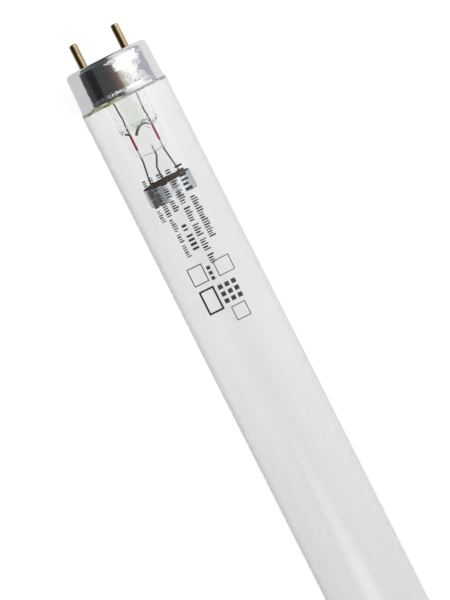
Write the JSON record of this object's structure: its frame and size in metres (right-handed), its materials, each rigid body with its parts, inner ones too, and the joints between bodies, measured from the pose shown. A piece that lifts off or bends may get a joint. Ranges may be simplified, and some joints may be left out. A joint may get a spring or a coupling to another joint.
{
  "type": "germicidal lamp tube",
  "caption": "Clear glass discharge lamp tube with a two-pin aluminium cap at each end and shielded coil cathodes on glass stems inside.",
  "frame": {"origin": "centre of the lamp on its axis, midway between the two cap faces", "axes": "+X along the lamp's axis; the pins of both caps lie in the XY plane; +Z is square to that plane, towards the fronts of the stems"},
  "size_m": [1.2136, 0.0256, 0.0256],
  "materials": {
    "tube_glass": "clear, smooth",
    "mercury": "liquid mirror",
    "cap_aluminium": "drawn, semi-bright",
    "insulator": "moulded, matt",
    "pin_brass": "turned and rubbed, semi-bright",
    "cement": "baked resin, matt",
    "stem_glass": "clear, flame-worked",
    "outer_lead": "drawn wire, dull",
    "seal_wire": "borated copper, glossy in the glass",
    "nickel_wire": "drawn wire, satin",
    "shield_strip": "rolled strip, satin",
    "tungsten": "drawn wire with a pale emitter coat"
  },
  "bodies": {
    "root": {"glass_tube": "tube_glass", "mercury_bead": "mercury", "cap_shell_a": "cap_aluminium", "insulator_plate_a": "insulator", "contact_pin_a1": "pin_brass", "contact_pin_a2": "pin_brass", "capping_cement_a": "cement", "stem_a": "stem_glass", "exhaust_tube_a": "stem_glass", "outer_lead_a1": "outer_lead", "outer_lead_a2": "outer_lead", "seal_wire_a1": "seal_wire", "seal_wire_a2": "seal_wire", "inner_lead_a1": "nickel_wire", "inner_lead_a2": "nickel_wire", "shield_support_a": "nickel_wire", "cathode_shield_a": "shield_strip", "cathode_coil_a": "tungsten", "cap_shell_b": "cap_aluminium", "insulator_plate_b": "insulator", "contact_pin_b1": "pin_brass", "contact_pin_b2": "pin_brass", "capping_cement_b": "cement", "stem_b": "stem_glass", "exhaust_tube_b": "stem_glass", "outer_lead_b1": "outer_lead", "outer_lead_b2": "outer_lead", "seal_wire_b1": "seal_wire", "seal_wire_b2": "seal_wire", "inner_lead_b1": "nickel_wire", "inner_lead_b2": "nickel_wire", "shield_support_b": "nickel_wire", "cathode_shield_b": "shield_strip", "cathode_coil_b": "tungsten"}
  },
  "joints": []
}
